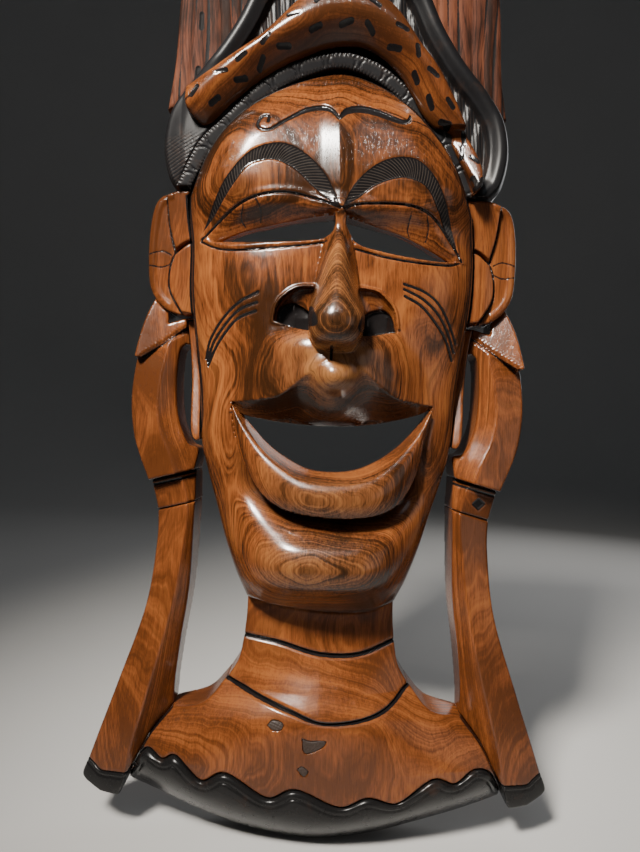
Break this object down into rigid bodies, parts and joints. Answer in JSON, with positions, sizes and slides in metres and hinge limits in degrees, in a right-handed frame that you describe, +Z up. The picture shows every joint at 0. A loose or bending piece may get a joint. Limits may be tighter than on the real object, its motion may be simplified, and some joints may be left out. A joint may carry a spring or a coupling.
{
  "type": "carved wall mask",
  "caption": "Long carved hardwood wall mask with slit eyes, open mouth, dark headdress, stretched earlobes that run into side arms, ringed neck and scalloped bust, with a ring hanger behind.",
  "frame": {"origin": "on the axis of the hanger ring, at the middle of the strap's knuckle, where a wall hook holds the mask", "axes": "+Z up towards the top of the headdress, +Y backwards towards the wall, +X to the viewer's right"},
  "size_m": [0.2926, 0.0929, 0.562],
  "materials": {
    "rosewood": "gloss varnish over mid-brown rosewood",
    "pale_rosewood": "gloss varnish over figured rosewood",
    "dark_rosewood": "satin varnish over grooved dark rosewood",
    "black_stain": "satin black stain over carved wood",
    "filler": "dark wood filler, varnished",
    "steel": "plain zinc-bright steel"
  },
  "bodies": {
    "mask": {"headdress_panel": "dark_rosewood", "hood": "black_stain", "brim_band": "rosewood", "hair_band": "black_stain", "face_shell": "pale_rosewood", "neck_upper": "rosewood", "neck_lower": "rosewood", "bust": "rosewood", "hem": "black_stain", "filler_patch_1": "filler", "filler_patch_2": "filler", "filler_patch_3": "filler", "hanger_strap": "steel", "hanger_screw_1": "steel", "hanger_screw_2": "steel", "left_ear": "rosewood", "left_earlobe_loop": "rosewood", "left_earlobe_strip": "rosewood", "left_arm_band": "rosewood", "left_arm": "rosewood", "left_foot_hem": "black_stain", "right_ear": "rosewood", "right_earlobe_loop": "rosewood", "right_earlobe_strip": "rosewood", "right_arm_band": "rosewood", "right_arm": "rosewood", "right_foot_hem": "black_stain"},
    "ring": {"hanger_ring": "steel"}
  },
  "joints": [
    {"name": "ring_swing", "type": "hinge", "parent": "mask", "child": "ring", "pos_m": [0, 0, 0], "axis": [1, 0, 0], "range_deg": [0, 175]}
  ]
}
